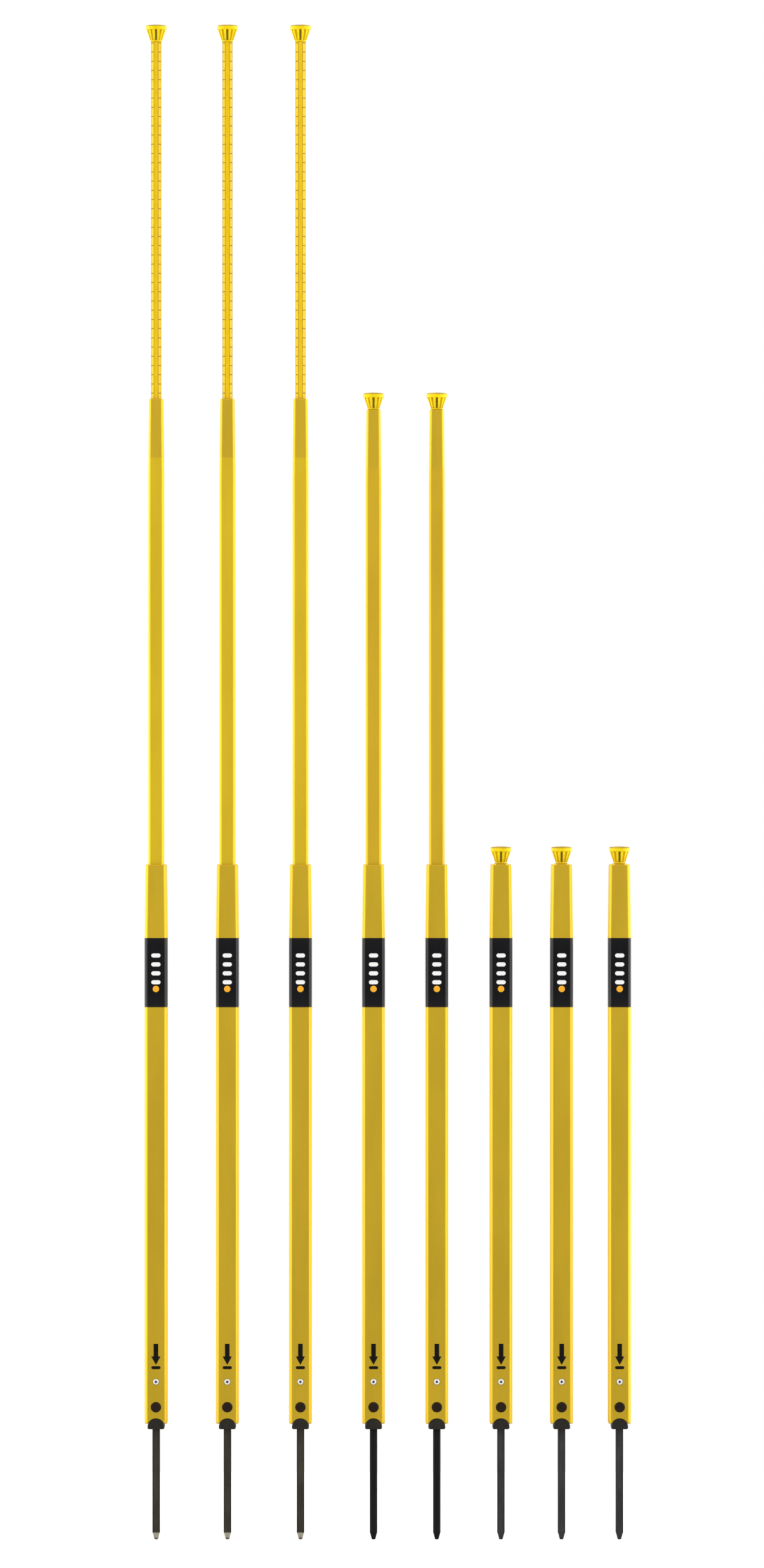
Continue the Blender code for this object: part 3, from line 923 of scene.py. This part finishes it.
def rod_look(centre):
    """Painted shade: look 1 in the notches and the creases at both sides, 2 in the other creases,
    or else 0.
    """
    reach = centre.xy.length
    if reach < ROD_WIDTH / 2 - INSIDE_SHARE * ROD_WALL:
        return 0
    corner = off_corner(centre, 8)
    if corner < CREASE_ANGLE:
        return 1 if abs(centre.x) > ROD_WIDTH / 2 - ROD_CREASE else 2
    flat = math.cos(math.pi / 8 - corner) * reach
    return int(flat < ROD_WIDTH / 2 - INSIDE_SHARE * NOTCH_DEPTH)


def cap_look(under_z, top_z):
    """Look 3, a darker yellow, on the top; painted shade 2 in the flute at the front and back, 1
    in the others; or else 0.
    """
    collar_z = under_z + CAP_COLLAR_HEIGHT
    rim_z = top_z - CAP_CROWN - CAP_RIM_HEIGHT
    dark_top_z = top_z - CAP_CROWN - CAP_DARK_TOP_HEIGHT

    def look_of(centre):
        if centre.z > dark_top_z:
            return 3
        share = (centre.z - collar_z) / (rim_z - collar_z)
        if not 0 < share < 1 or centre.xy.length > between(CAP_FLUTE_REACH, share):
            return 0
        return 2 if abs(centre.x) < CAP_FLUTE_WIDTH / 2 else 1
    return look_of


def screw_look(front):
    """Look 1, a painted shade, on the washer and in the cross; 0 on the rest of the head."""
    def look_of(centre):
        out = math.hypot(centre.x, centre.z - SCREW_Z)
        if out > SCREW_RADIUS:
            return 1
        sunk = centre.y > front - SCREW_HEIGHT + CUT_CLEARANCE
        return int(out < SCREW_CROSS_REACH and sunk)
    return look_of


def shaded_spike_edge_look(tip_z):
    """Look 1, a painted shade, on the bar's rounded edges above the shoulder, or else 0."""
    def look_of(centre):
        return int(centre.z >= tip_z + SPIKE_SHOULDER and off_corner(centre, 4) < SPIKE_EDGE_ANGLE)
    return look_of


# ---------------------------------------------------------------- assembly

def add_piece(name, mesh, x, looks, body, replaced=None):
    """Piece made around the Z axis, moved to its pole, riding on a body."""
    mesh.transform(Matrix.Translation((x, 0, 0)))
    mesh.name = name
    chosen = [face.material_index for face in mesh.polygons]
    mesh.materials.clear()
    for material in looks:
        mesh.materials.append(material)
    mesh.polygons.foreach_set("material_index", chosen)
    obj = bpy.data.objects.new(name, mesh)
    bpy.context.scene.collection.objects.link(obj)
    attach(obj, body)
    if replaced:
        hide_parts(replaced)


def spike_finish(number):
    """Name of the spike's finish, which is also its slot."""
    if number <= 3:
        return "worn_steel"
    return "black_steel" if number <= 5 else "grey_steel"


def add_pole(number, materials):
    """The twelve pieces of one pole, placed by its nodes' boxes."""
    prefix = "pole_%d_" % number

    def box(piece):
        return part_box(prefix + piece)

    low, high = box("lower_tube")
    x = (low.x + high.x) / 2
    width = high.x - low.x
    front = low.y
    plug_low, plug_high = box("base_plug")
    spike_low, spike_high = box("ground_spike")
    button_low, button_high = box("release_button")
    middle_low, middle_high = box("middle_tube")
    rod_low, rod_high = box("upper_rod")
    cap_low, cap_high = box("end_cap")
    button_z = (button_low.z + button_high.z) / 2
    label_top = high.z - LOWER_NECK_LENGTH
    spike = spike_finish(number)
    # Poles 4 to 8 take the middle tube's painted-shade copy.
    middle = "middle" if number <= 3 else "shaded_middle"

    def add(piece, mesh, look, body, stands_for=None):
        replaced = prefix + stands_for if stands_for else None
        looks = [materials[name] for name in look.split()]
        add_piece(prefix + piece, mesh, x, looks, prefix + body, replaced)

    cap_under_z = rod_high.z + GAP
    middle_mesh = tinted(
        middle_tube_mesh(middle_low.z, middle_high.z, middle_high.x - middle_low.x),
        above(middle_high.z - MIDDLE_DULL_LENGTH))
    rod_mesh = tinted(upper_rod_mesh(rod_low.z, rod_high.z, rod_high.x - rod_low.x), rod_look)
    cap_mesh = tinted(end_cap_mesh(cap_under_z, cap_high.z, cap_low.z),
                      cap_look(cap_under_z, cap_high.z))
    spike_mesh = tinted(ground_spike_mesh(spike_high.z, spike_low.z),
                        shaded_spike_edge_look(spike_low.z))

    add("tube_shell", lower_tube_mesh(low.z, high.z, width, button_z),
        "lower", "lower", "lower_tube")
    add("knuckle_plug",
        base_plug_mesh(low.z, plug_high.x - plug_low.x, spike_high.z, button_z, -button_high.y),
        "plug", "lower", "base_plug")
    add("spike_bar", spike_mesh, spike + " spike_edge", "lower", "ground_spike")
    add("plug_screw", tinted(screw_mesh(-front), screw_look(front)),
        "screw screw_shadow", "lower")
    add("label_band", label_mesh(width, label_top - LABEL_HEIGHT, label_top),
        "label", "lower")
    mark_front = front - LABEL_PROUD
    add("label_bars", bars_mesh(mark_front, label_top), "white_ink", "lower")
    add("label_dot", dot_mesh(mark_front, label_top), "orange_ink", "lower")
    add("ground_arrow", arrow_mesh(front), "black_ink", "lower")
    add("button_head", release_button_mesh(button_z, -button_high.y, -button_low.y),
        "button", "button", "release_button")
    add("middle_shell", middle_mesh, middle + " lower", "middle", "middle_tube")
    add("notched_rod", rod_mesh, "rod notch crease", "upper", "upper_rod")
    add("ribbed_cap", cap_mesh, "cap flute deep_flute scuffed", "upper", "end_cap")


def make_floor(level):
    """Pale floor just under the spikes' points."""
    floor = bpy.data.meshes.new("floor")
    floor.from_pydata(rectangle((2 * FLOOR_REACH, 2 * FLOOR_REACH), 1.0, level),
                      [], [(0, 1, 2, 3)])
    look = Look("floor_white", (0.50, 0.50, 0.50), 0.9, Specular_IOR_Level=0.1,
                Emission_Color=(1.0, 1.0, 1.0, 1.0))
    seen = look.add("ShaderNodeLightPath").outputs["Is Camera Ray"]
    look.feed(look.shader.inputs["Emission Strength"], look.math("MULTIPLY", seen, FLOOR_GLOW))
    floor.materials.append(look.material)
    obj = bpy.data.objects.new("floor", floor)
    bpy.context.scene.collection.objects.link(obj)


def make_light():
    """Soft studio surround: tall soft lights at both sides, one above, and dim front and back."""
    world = bpy.data.worlds.new("studio")
    world.use_nodes = True
    bpy.context.scene.world = world
    tree = world.node_tree
    background = tree.nodes["Background"]

    def node(kind, operation=None):
        made = tree.nodes.new(kind)
        if operation:
            made.operation = operation
        return made

    def lobe(component, light):
        made = node("ShaderNodeMapRange")
        made.interpolation_type = "SMOOTHSTEP"
        tree.links.new(component, made.inputs["Value"])
        for socket, value in zip(("From Min", "From Max", "To Max"), light):
            made.inputs[socket].default_value = value
        return made.outputs["Result"]

    def total(first, second):
        made = node("ShaderNodeMath", "ADD")
        for socket, value in zip(made.inputs, (first, second)):
            if isinstance(value, float):
                socket.default_value = value
            else:
                tree.links.new(value, socket)
        return made.outputs[0]

    def magnitude(component):
        made = node("ShaderNodeMath", "ABSOLUTE")
        tree.links.new(component, made.inputs[0])
        return made.outputs[0]

    split = node("ShaderNodeSeparateXYZ")
    tree.links.new(node("ShaderNodeTexCoord").outputs["Generated"], split.inputs[0])
    light = total(lobe(magnitude(split.outputs["X"]), SIDE_LIGHT), FILL_LIGHT)
    light = total(lobe(split.outputs["Z"], TOP_LIGHT), light)
    light = total(lobe(magnitude(split.outputs["Y"]), FRONT_AND_BACK_DIP), light)
    shown = node("ShaderNodeMix")
    tree.links.new(node("ShaderNodeLightPath").outputs["Is Camera Ray"], shown.inputs["Factor"])
    tree.links.new(light, shown.inputs[2])
    shown.inputs[3].default_value = 1.0
    tree.links.new(shown.outputs[0], background.inputs["Strength"])
    background.inputs["Color"].default_value = (1, 1, 1, 1)


def make_camera():
    data = bpy.data.cameras.new("camera")
    data.sensor_width = SENSOR
    data.lens = SENSOR * CAMERA_DISTANCE / FRAME_HEIGHT
    data.shift_y = (FRAME_CENTRE_Z - CAMERA_Z) / FRAME_HEIGHT
    data.clip_end = 100
    camera = bpy.data.objects.new("camera", data)
    camera.location = (FRAME_CENTRE_X, -CAMERA_DISTANCE, CAMERA_Z)
    camera.rotation_euler = (math.radians(90), 0, 0)
    bpy.context.scene.collection.objects.link(camera)
    bpy.context.scene.camera = camera


def main():
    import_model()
    cad_low, cad_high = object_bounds()
    make_camera()
    materials = make_materials(cad_low.z + SPIKE_SHOULDER)
    for number in range(1, POLE_COUNT + 1):
        add_pole(number, materials)
    make_floor(cad_low.z - FLOOR_DROP)
    make_light()
    settings = bpy.context.scene.view_settings
    settings.view_transform = "Standard"


main()
